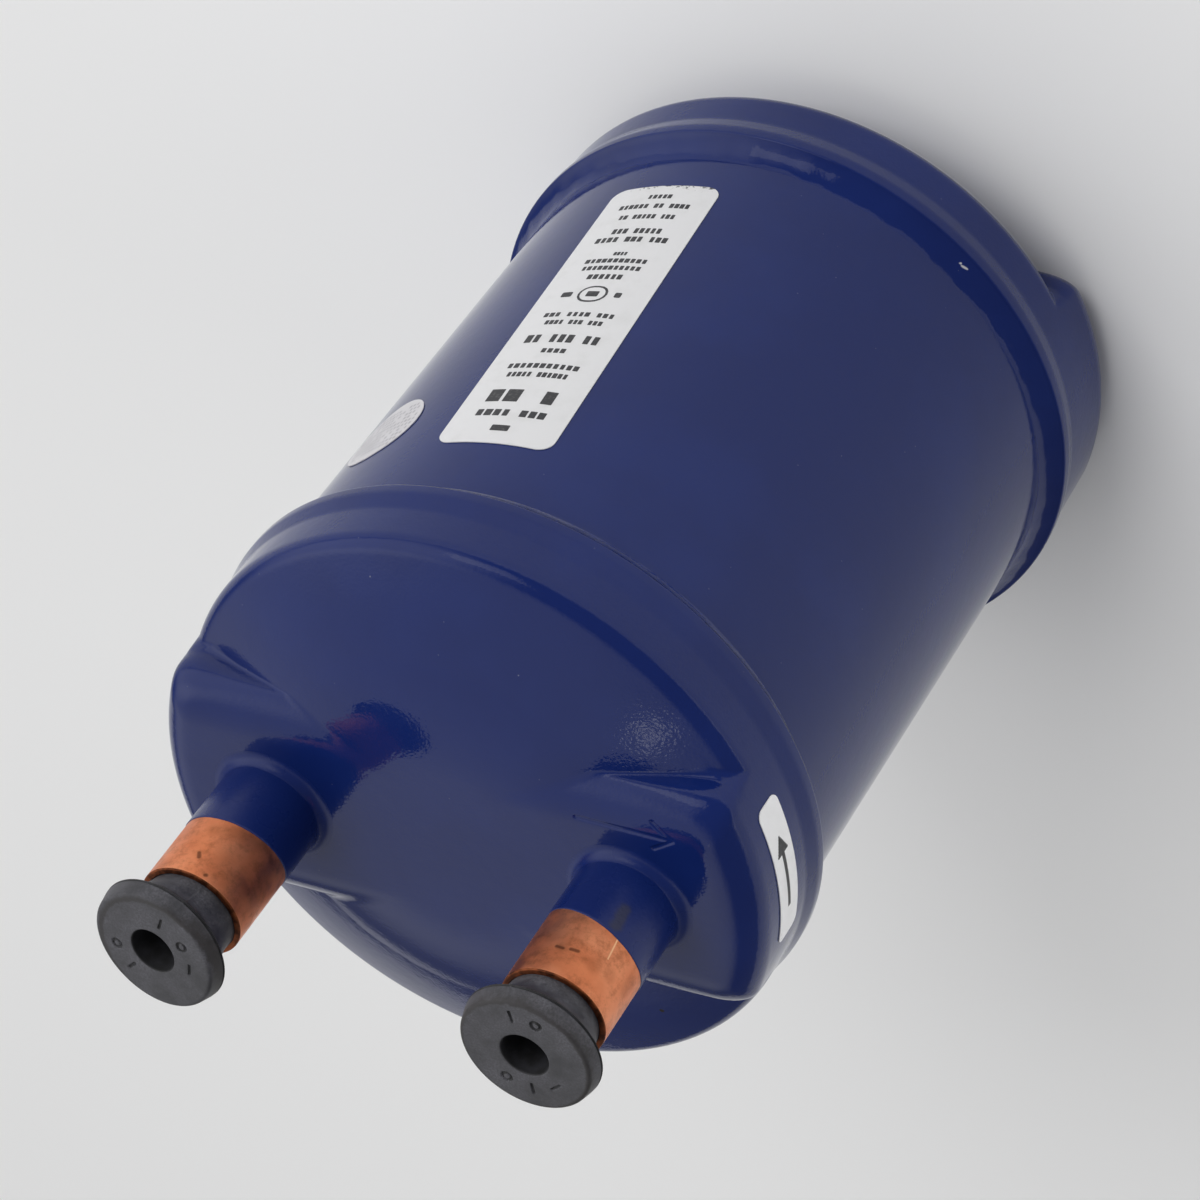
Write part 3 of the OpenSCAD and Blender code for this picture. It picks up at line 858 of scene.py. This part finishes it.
def build_brazes(look):
    """The brazed rings at the feet of the connections."""
    outline = fillet_outline(STUB_R, BRAZE_LEG, BRAZE_LEG, BRAZE_LEG)
    rows = turned(outline, even_turn(STUB_TURNS))
    for node, x, seed in (("inlet_braze", STUB_X, 7), ("outlet_braze", -STUB_X, 8)):
        bead = ripple(rows, BRAZE_RIPPLE, BRAZE_WAVES, seed=seed)
        dress(skin(node + "_dressed", bead + (x, 0, FACE_Z), ring=True), node, "enamel", look)


# Connections and plugs

PAINT_H = 12.35
PAINT_T = 0.08
PAINT_WAVE = 0.16
PAINT_WAVES = (2, 3, 5, 8, 13, 21)
# The paint's thick edge: distance out from the copper and height from the edge
PAINT_LIP = (PAINT_T + 0.04, -0.45), (PAINT_T + 0.05, -0.2), (PAINT_T, -0.04), (0, 0)
BARE_LEN = 6.0
# Order of a connection's materials
BARE, PAINTED, END = range(3)


def build_stub(node, x, tilt, seed, looks):
    """A connection: painted at its foot, with an uneven and slanting edge of paint, and bare above."""
    rng = np.random.default_rng(seed)
    a = even_turn(STUB_TURNS)
    wave = sum(rng.uniform(0.3, 1) * np.sin(k * a + rng.uniform(0, 2 * np.pi)) / k
               for k in PAINT_WAVES)
    edge = FACE_Z + PAINT_H + tilt[0] * np.cos(a) + tilt[1] * np.sin(a) + PAINT_WAVE * wave
    painted = STUB_R + PAINT_T
    below = path((BORE_R, STUB_FOOT), (STUB_R, STUB_FOOT), (STUB_R, FACE_Z - CAP_WALL))
    coat = path((painted, FACE_Z - CAP_WALL), (painted, FACE_Z + PAINT_H / 2))
    rise = path(*PAINT_LIP) + (STUB_R, 0)
    bare = path((STUB_R, STUB_MOUTH - BARE_LEN), (STUB_R, STUB_MOUTH - 2 * STUB_EDGE_R))
    edge_c = (STUB_R - STUB_EDGE_R, STUB_MOUTH - STUB_EDGE_R)
    # The mouth's rounded edge takes the dark end material too: painted shade in place of its highlight
    end = path(arc(edge_c, STUB_EDGE_R, 0, 90, 6), (BORE_R, STUB_MOUTH),
               (BORE_R, STUB_MOUTH - PLUG_STEM))
    at_edge = turned(rise, a)
    at_edge[..., 2] += edge
    rows = np.vstack((turned(below, a), turned(coat, a), at_edge, turned(bare, a), turned(end, a)))
    kinds = np.repeat((BARE, PAINTED, BARE, END),
                      (len(below), len(coat) + len(rise) - 1, len(bare) + 1, len(end)))
    piece = skin(node + "_dressed", rows + (x, 0, 0), row_materials=kinds, ring=True)
    dress(piece, node, "copper", *looks)


PLUG_STEP = 1.2
FACE_STEP = 0.16
PLUG_MOUTH_R = 0.35
# Sunk marks, the seam left by the mould and the groove behind the head's rim
MARK_DEPTH = 0.3
MARK_HALF = 0.2
MARK_FADE = 1.5
MARK_SIZE = 0.95
MARK_RING_R = 0.76
SEAM_H = 0.13
SEAM_HALF_DEG = 1.4
SEAM_LOW = 0.5
SEAM_BELOW_FACE = 0.9
GROOVE = 0.22
GROOVE_LIP = 0.06


def plug_outline():
    """Outline of a plug from the tip of its stem to the bottom of its blind hole.

    The connection's mouth is at z = 0.
    """
    back_z = PLUG_HEAD_H - PLUG_RIM_H
    rim_a = math.degrees(math.atan2(PLUG_R - PLUG_FACE_R, PLUG_RIM_H))
    lean = math.radians(rim_a)
    edge_x = PLUG_FACE_R - PLUG_EDGE_R * (1 - math.sin(lean)) / math.cos(lean)
    flare = arc_between((PLUG_NECK_R, 0), (PLUG_R, back_z), PLUG_FLARE_R, 22)
    notch = path((PLUG_R, back_z), (PLUG_R - GROOVE, back_z + GROOVE),
                 (PLUG_R - GROOVE_LIP, back_z + 2 * GROOVE))
    edge = arc((edge_x, PLUG_HEAD_H - PLUG_EDGE_R), PLUG_EDGE_R, rim_a, 90, 10)
    mouth_c = (PLUG_HOLE_R + PLUG_MOUTH_R, PLUG_HEAD_H - PLUG_MOUTH_R)
    mouth = arc(mouth_c, PLUG_MOUTH_R, 90, 180, 6)
    tip = (PLUG_NECK_R - PLUG_TAPER, -PLUG_STEM)
    outer = dense(path(tip, flare[:-1], notch, edge), PLUG_STEP)
    face = dense(path(edge[-1], mouth[0]), FACE_STEP)[1:]
    return path(outer, face, mouth[1:], (PLUG_HOLE_R, PLUG_HEAD_H - PLUG_HOLE_DEPTH))


def to_segment(x, y, first, last):
    """Distance in a plane from points to a line between two points."""
    way = np.subtract(last, first)
    share = np.clip(((x - first[0]) * way[0] + (y - first[1]) * way[1]) / (way @ way), 0, 1)
    return np.hypot(x - first[0] - share * way[0], y - first[1] - share * way[1])


def moulded(x, y, places):
    """How deep marks are sunk in a plug's face, 1 at full depth.

    The marks are in turn a tick, a ring and a cross tick.
    """
    depth = np.zeros_like(x)
    for k, (r, deg) in enumerate(places):
        out = np.array((math.cos(math.radians(deg)), math.sin(math.radians(deg))))
        side = np.array((-out[1], out[0]))
        centre = r * out
        off = (to_segment(x, y, centre - MARK_SIZE * out, centre + MARK_SIZE * out),
               np.abs(np.hypot(x - centre[0], y - centre[1]) - MARK_RING_R),
               to_segment(x, y, centre - MARK_SIZE * side, centre + MARK_SIZE * side))[k % 3]
        depth = np.maximum(depth, np.clip(MARK_FADE - off / MARK_HALF, 0, 1))
    return depth


def build_plug(node, x, lean, lean_deg, seam_deg, mark_places, looks):
    """A push-in plug, its head leaning, with a thin seam and sunk marks left by the mould."""
    rows = turned(plug_outline(), even_turn(PLUG_TURNS))
    r = np.hypot(rows[..., 0], rows[..., 1])
    a = np.degrees(np.arctan2(rows[..., 1], rows[..., 0]))
    off_seam = np.abs((a - seam_deg + 90) % 180 - 90)
    z = rows[..., 2]
    on_flare = (z > SEAM_LOW) & (z < PLUG_HEAD_H - SEAM_BELOW_FACE) & (r > PLUG_HOLE_R + 1)
    rows = swollen(rows, SEAM_H * np.exp(-(off_seam / SEAM_HALF_DEG) ** 2) * on_flare)
    on_face = (rows[..., 2] > PLUG_HEAD_H - 0.01) & (r > PLUG_HOLE_R + 0.5)
    sunk = moulded(rows[..., 0], rows[..., 1], mark_places) * on_face
    rows[..., 2] -= MARK_DEPTH * sunk
    in_hole = (r < PLUG_HOLE_R + 0.2) & (np.arange(len(rows)) > 1)[:, None]
    in_groove = np.abs(rows[..., 2] - PLUG_HEAD_H + PLUG_RIM_H) < 1.5 * GROOVE
    # The sunk marks, the blind hole and the groove take the hollow rubber: no dust, and painted shade
    # in the recesses
    hollow = (sunk > 0.3) | in_hole | (in_groove & (r > PLUG_R - 2 * GROOVE))
    piece = skin(node + "_dressed", rows, row_materials=hollow.astype(int))
    to_lean = Matrix.Rotation(math.radians(lean_deg), 4, "Z")
    turn = to_lean @ Matrix.Rotation(math.radians(lean), 4, "Y") @ to_lean.inverted()
    place = Vector((x, 0, STUB_MOUTH + PLUG_NECK_R * math.sin(math.radians(lean)))) * MM
    piece.data.transform(Matrix.Translation(place) @ turn)
    dress(piece, node, "plug_rubber", *looks)


# Labels

FILM_ACROSS = 0.6
FILM_ALONG = 3.0


def film(length, width, corner, corner_steps):
    """Flat rows of points over a rectangle with round corners: across, then along."""
    columns = 1 + max(1, math.ceil(width / FILM_ACROSS))
    straight = length / 2 - corner
    ends = length / 2 - corner * (1 - np.sin(np.radians(np.linspace(0, 90, corner_steps))))
    middle = np.linspace(-straight, straight, max(2, int(length / FILM_ALONG)))
    v = np.concatenate((-ends[::-1], middle[1:-1], ends))
    past = np.maximum(np.abs(v) - straight, 0)
    half = width / 2 - corner + np.sqrt(np.maximum(corner ** 2 - past ** 2, 0))
    u = half[:, None] * np.linspace(-1, 1, columns)
    return np.stack((u, np.repeat(v[:, None], columns, 1)), axis=2)


def wrap(flat, wall_r, deg, z, lean, height):
    """Flat points laid on the round wall."""
    c, s = math.cos(math.radians(lean)), math.sin(math.radians(lean))
    u = flat[..., 0] * c - flat[..., 1] * s
    v = flat[..., 0] * s + flat[..., 1] * c
    a = math.radians(deg) + u / wall_r
    r = wall_r + height
    return np.stack((r * np.cos(a), r * np.sin(a), z + v), axis=2)


def grid_faces(rows, columns, start):
    """Faces of a grid of points that are numbered from a start."""
    i = np.arange(rows - 1)[:, None] * columns + np.arange(columns - 1)[None, :] + start
    return np.stack((i, i + 1, i + columns + 1, i + columns), axis=2).reshape(-1, 4).tolist()


def build_label(node, wall_r, deg, lean, shape, fields, looks):
    """A label on the wall. A field of print is its middle, its shape, its ink and its layer."""
    z = sum(node_box(node))[2] / 2
    sheet = film(*shape, corner_steps=12)
    sheets = [(sheet, GLUE_T, 0), (sheet, GLUE_T + LABEL_T, 0)]
    for u, v, field, kind, layer in fields:
        mark = film(*field, corner_steps=5) + (u, v)
        sheets.append((mark, GLUE_T + LABEL_T + INK_T * layer, kind))
    points, faces, kinds = [], [], []
    count = 0
    for flat, height, kind in sheets:
        points.append(wrap(flat, wall_r, deg, z, lean, height).reshape(-1, 3))
        block = grid_faces(*flat.shape[:2], count)
        faces += [f[::-1] for f in block] if height == GLUE_T else block
        kinds += [kind] * len(block)
        count += len(points[-1])
    n, m = sheet.shape[:2]
    rim = np.concatenate((np.arange(m), np.arange(1, n) * m + m - 1,
                          (n - 1) * m + np.arange(m - 2, -1, -1), np.arange(n - 2, 0, -1) * m))
    faces += [[a, b, b + n * m, a + n * m] for a, b in zip(rim, np.roll(rim, -1))]
    kinds += [0] * len(rim)
    piece = mesh_piece(node + "_dressed", np.vstack(points), faces, kinds)
    dress(piece, node, "label", *looks)


# Lines of print on the rating label: height up the label, size, length, letters in each word
PRINT_LINES = ((28.6, 1.7, 12.6, (3, 4)), (24.0, 3.3, 12.8, (1, 2)), (18.2, 1.3, 11.0, (6, 5)),
               (15.8, 1.3, 13.0, (11,)), (11.6, 1.2, 4.6, (4,)), (8.2, 2.2, 13.6, (2, 3, 2)),
               (3.6, 1.2, 10.6, (3, 3, 4)), (1.4, 1.2, 13.0, (3, 4, 3)), (-9.4, 1.4, 6.6, (6,)),
               (-12.0, 1.2, 11.0, (11,)), (-14.1, 1.2, 11.6, (11,)), (-16.1, 1.0, 2.6, (4,)),
               (-20.4, 1.5, 13.6, (3, 3, 4)), (-22.9, 1.5, 9.4, (5, 3)), (-27.2, 1.3, 10.6, (3, 5, 2)),
               (-30.4, 1.3, 13.4, (4, 2, 6)), (-33.2, 1.2, 4.6, (5,)))
LETTER_SHARE = (0.6, 0.86)
LETTER_CORNER = 0.12
# Plain signs on the rating label: middle, shape, ink 1 or paper 0, and layer
SEAL_V = -4.4
SIGNS = ((0.0, 32.6, (1.5, 3.2, 0.2), 1, 1),
         (0.0, SEAL_V, (4.6, 5.4, 2.29), 1, 1),
         (0.0, SEAL_V, (3.7, 4.5, 1.84), 0, 2),
         (0.0, SEAL_V, (1.5, 2.2, 0.2), 1, 3),
         (-4.6, SEAL_V, (1.4, 1.2, 0.3), 1, 1),
         (4.8, SEAL_V, (1.4, 2.0, 0.3), 1, 1))


def print_fields():
    """The rating label's print as blocks, with a plain ring and plain bars."""
    rng = np.random.default_rng(21)
    fields = list(SIGNS)
    for v, size, length, words in PRINT_LINES:
        pitch = length / (sum(words) + len(words) - 1)
        u = -length / 2
        for word in words:
            for k in range(word):
                width = pitch * rng.uniform(*LETTER_SHARE)
                fields.append((u + (k + 0.5) * pitch, v, (size, width, LETTER_CORNER), 1, 1))
            u += (word + 1) * pitch
    return fields


STICKER_LINES = np.arange(-5.4, 5.5, 1.2)
STICKER_MARGIN = 1.2
STICKER_PITCH = 0.9
STICKER_FILLED = 0.8
STICKER_LETTER_H, STICKER_LETTER_W = 0.7, (0.35, 0.65)


def sticker_fields():
    """Rows of small worn print round the sticker."""
    rng = np.random.default_rng(22)
    fields = []
    for v in STICKER_LINES:
        half = math.sqrt(STICKER_R ** 2 - v * v) - STICKER_MARGIN
        for u in np.arange(-half, half, STICKER_PITCH):
            if rng.uniform() < STICKER_FILLED:
                width = rng.uniform(*STICKER_LETTER_W)
                fields.append((u, v, (STICKER_LETTER_H, width, 0.1), 1, 1))
    return fields


ARROW_LEN, ARROW_T, ARROW_HEAD = 11.0, 0.9, 3.4
ARROW_STRIPS = 8
STRIP_LAP = 0.02


def tag_fields():
    """A plain arrow along the tag: its shaft, and a head of ever narrower strips."""
    fields = [(-ARROW_HEAD / 2, 0.0, (ARROW_T, ARROW_LEN, 0.1), 1, 1)]
    strip = ARROW_HEAD / ARROW_STRIPS
    for k in range(ARROW_STRIPS):
        u = (ARROW_LEN - ARROW_HEAD) / 2 + (k + 0.5) * strip
        height = ARROW_HEAD * (1 - k / ARROW_STRIPS)
        fields.append((u, 0.0, (height, strip + STRIP_LAP, 0.05), 1, 1))
    return fields


# Scene

# Light of the room, and lights in it: level, azimuth, height, and where each starts and ends to fade
ROOM = 0.17
SKY = (0.7, 218.0, 55.0, 30.0, 54.0)
SIDE = (1.2, 142.0, 24.0, 10.0, 48.0)
GLOW = (2.8, 294.0, 74.0, 0.5, 2.6)
FLOOR_SIZE = 14.0
FLOOR_COLOUR = (0.9, 0.9, 0.9, 1.0)
FLOOR_ROUGH = 0.9


def direction(azimuth, height):
    """A way out into the room, by its angles in degrees."""
    az, el = math.radians(azimuth), math.radians(height)
    return Vector((math.cos(el) * math.cos(az), math.cos(el) * math.sin(az), math.sin(el)))


def room():
    """A dim room with a wide soft light above, another at one side and a small lit disc overhead."""
    world = bpy.data.worlds.new("studio")
    world.use_nodes = True
    bpy.context.scene.world = world
    nodes = Nodes(world.node_tree)
    way = nodes.node("TexCoord").outputs["Generated"]
    light = ROOM
    for level, azimuth, height, inner, outer in (SKY, SIDE, GLOW):
        turn = nodes.vector("DOT_PRODUCT", way, direction(azimuth, height))["Value"]
        dark, full = math.cos(math.radians(outer)), math.cos(math.radians(inner))
        light = nodes.math("ADD", nodes.step(turn, dark, full, 0.0, level), light)
    back = world.node_tree.nodes["Background"]
    back.inputs["Color"].default_value = (1, 1, 1, 1)
    nodes.feed(back.inputs["Strength"], light)


def floor():
    """A plain pale floor that takes the object's shadow."""
    half = FLOOR_SIZE / 2
    corners = [(-half, -half, 0), (half, -half, 0), (half, half, 0), (-half, half, 0)]
    mesh = bpy.data.meshes.new("floor")
    mesh.from_pydata(corners, [], [(0, 1, 2, 3)])
    ground = add("floor", mesh)
    look = Look("floor_look")
    mesh.materials.append(look.set(Base_Color=FLOOR_COLOUR, Roughness=FLOOR_ROUGH))


CAMERA_AIM = Vector((-3.09, 2.2, 87.86)) * MM
CAMERA_AWAY = 720.7 * MM
CAMERA_AZIMUTH = 57.37
CAMERA_HEIGHT = 40.92
CAMERA_ROLL = 144.01
LENS = 129.87
SENSOR_W = 36
FAR_CLIP = 20


def camera():
    """The photo's view, fitted to the connections, the cap and the shell."""
    back = direction(CAMERA_AZIMUTH, CAMERA_HEIGHT)
    right = Vector((0, 0, 1)).cross(back).normalized()
    upright = Matrix((right, back.cross(right), back)).transposed()
    turn = Matrix.Rotation(-math.radians(CAMERA_ROLL), 3, "Z")
    data = bpy.data.cameras.new("camera")
    data.sensor_width = SENSOR_W
    data.lens = LENS
    data.clip_end = FAR_CLIP
    eye = add("camera", data)
    place = Matrix.Translation(CAMERA_AIM + back * CAMERA_AWAY)
    eye.matrix_world = place @ (upright @ turn).to_4x4()
    bpy.context.scene.camera = eye


LAMP_AIM = Vector((0, 0, 0.1))
# Name, azimuth, height, distance, size, power, and whether the gloss mirrors it
LAMPS = (("key", 105, 38, 1.5, (1.0, 0.8), 8.5, False),
         ("fill", 5, 7, 1.5, (1.0, 0.3), 5.5, False),
         ("window", 101, 27, 1.5, (0.6, 0.6), 1.0, True))


def lamp(name, azimuth, height, away, size, power, mirrored):
    """A flat rectangular lamp that looks at the object from a direction."""
    data = bpy.data.lights.new(name, "AREA")
    data.shape = "RECTANGLE"
    data.size, data.size_y = size
    data.energy = power
    lit = add(name, data)
    way = direction(azimuth, height)
    lit.location = LAMP_AIM + way * away
    lit.rotation_euler = (-way).to_track_quat("-Z", "Y").to_euler()
    lit.visible_glossy = mirrored


# Marks that handling left, on the connections by angle and height, on the vessel by place
INLET_PITS = (((95.5, 20.8), (88.5, 20.9)), ((80.9, 20.6), (73.9, 20.4)))
INLET_STAINS = (((52.8, 21.1), (52.8, 21.3)), ((7.3, 19.0), (4.3, 17.1)),
                ((34.1, 20.2), (34.1, 20.4)))
INLET_SCRATCHES = (((48.7, 13.1), (45.1, 18.4)),)
INLET_SMEARS = (((58.0, 9.1), (56.6, 12.6)),)
OUTLET_PITS = (((82.9, 22.5), (86.0, 21.6)), ((65.2, 25.0), (66.0, 25.1)))
OUTLET_STAINS = (((74.5, 15.7), (64.1, 15.0)), ((87.5, 16.3), (74.5, 15.7)),
                 ((48.7, 13.8), (31.4, 13.3)))
INLET_PAINT_TILT = (1.95, 1.05)
OUTLET_PAINT_TILT = (-0.15, 1.5)
INLET_SEAM_DEG = 100.0
OUTLET_SEAM_DEG = 60.0
INLET_MARKS = ((7.9, 99.0), (7.8, 68.0), (7.0, -49.0), (7.0, -86.0), (7.0, -123.0))
OUTLET_MARKS = ((7.0, 68.0), (6.9, 27.0), (7.0, -10.0), (6.9, -135.0), (7.2, -171.0))
TOP_PITS = (((51.0, -15.8, 134.2), (51.0, -15.5, 134.8)),
            ((30.8, -31.5, 141.6), (30.8, -31.2, 142.2)))
WELD_CHIPS = (((37.2, 37.2, 25.6), (37.7, 36.7, 25.0)), ((37.9, 36.4, 25.2), (38.7, 35.6, 24.8)))
# Their sizes: radius, softness and unevenness
TOP_PIT = 0.25, 0.2
WELD_CHIP = 0.12, 0.15
INLET_SMEARED = 0.5, 1.0, 1.2


def build():
    """Every piece with its looks."""
    body = enamel("enamel_body", peel=0.5)
    top = enamel("enamel_top_cap", marks=(TOP_PITS, TOP_PIT, 1.0, BARE_DARK))
    bottom = enamel("enamel_bottom_cap")
    seams = enamel("enamel_seams", peel=0.8, marks=(WELD_CHIPS, WELD_CHIP, 1.0, CHIP))
    painted = enamel("enamel_stub", dull=0.2,
                     marks=(on_stub(STUB_X, INLET_SMEARS), INLET_SMEARED, SMEAR_SHARE, SMEAR))
    end = two_tone("copper_end", TARNISH_AND_SHADE, TARNISH_BLOTS, TARNISH_ROUGH, TARNISH_GRAIN, metal=1.0)
    hollow = two_tone("rubber_hollow", HOLLOW, HOLLOW_BLOTS, HOLLOW_ROUGH, RUBBER_GRAIN)
    white = paper("label_paper", *LABEL_PAPER, scuffed_from=node_box("rating_label")[0][2])
    bright = paper("tag_paper", *TAG_PAPER_LIT)
    grey = paper("sticker_paper", *STICKER_PAPER)
    print_ink = two_tone("label_ink", LABEL_INK, INK_WEAR, INK_ROUGH)
    pale_ink = two_tone("sticker_ink", STICKER_INK, INK_WEAR, INK_ROUGH)
    steel = two_tone("inner_steel_look", STEEL, METAL_BLOTS, STEEL_ROUGH, METAL_GRAIN, metal=1.0)
    filler = two_tone("filler_look", FILLER, METAL_BLOTS, FILLER_ROUGH, METAL_GRAIN, metal=1.0)

    build_caps(top, bottom)
    build_shell(body)
    build_welds(seams)
    build_brazes(painted)
    inlet = copper("copper_inlet", STUB_X, INLET_PITS, INLET_STAINS, INLET_SCRATCHES)
    outlet = copper("copper_outlet", -STUB_X, OUTLET_PITS, OUTLET_STAINS, ())
    build_stub("inlet_stub", STUB_X, INLET_PAINT_TILT, 11, (inlet, painted, end))
    build_stub("outlet_stub", -STUB_X, OUTLET_PAINT_TILT, 12, (outlet, painted, end))
    build_plug("inlet_plug", STUB_X, 0.0, 0.0, INLET_SEAM_DEG, INLET_MARKS,
               (rubber("rubber_inlet", STUB_X), hollow))
    build_plug("outlet_plug", -STUB_X, OUTLET_PLUG_LEAN, OUTLET_PLUG_DEG, OUTLET_SEAM_DEG,
               OUTLET_MARKS, (rubber("rubber_outlet", -STUB_X), hollow))
    build_label("rating_label", SHELL_R, RATING_DEG, RATING_LEAN, (RATING_LEN, RATING_W, RATING_R),
                print_fields(), (white, print_ink))
    build_label("round_sticker", SHELL_R, STICKER_DEG, 0,
                (2 * STICKER_R, 2 * STICKER_R, STICKER_R - STICKER_FLAT),
                sticker_fields(), (grey, pale_ink))
    build_label("inlet_label", SIDE_R, TAG_DEG, 0, (TAG_H, TAG_LEN, TAG_R),
                tag_fields(), (bright, print_ink))
    for node, look in (("return_tube", steel), ("tube_brace", steel), ("oil_screen", steel),
                       ("inlet_deflector", steel), ("oil_orifice", filler), ("tube_braze", filler)):
        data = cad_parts[node].data
        data.materials.clear()
        data.materials.append(look)


bpy.context.scene.view_settings.view_transform = "Standard"
build()
room()
floor()
camera()
for values in LAMPS:
    lamp(*values)
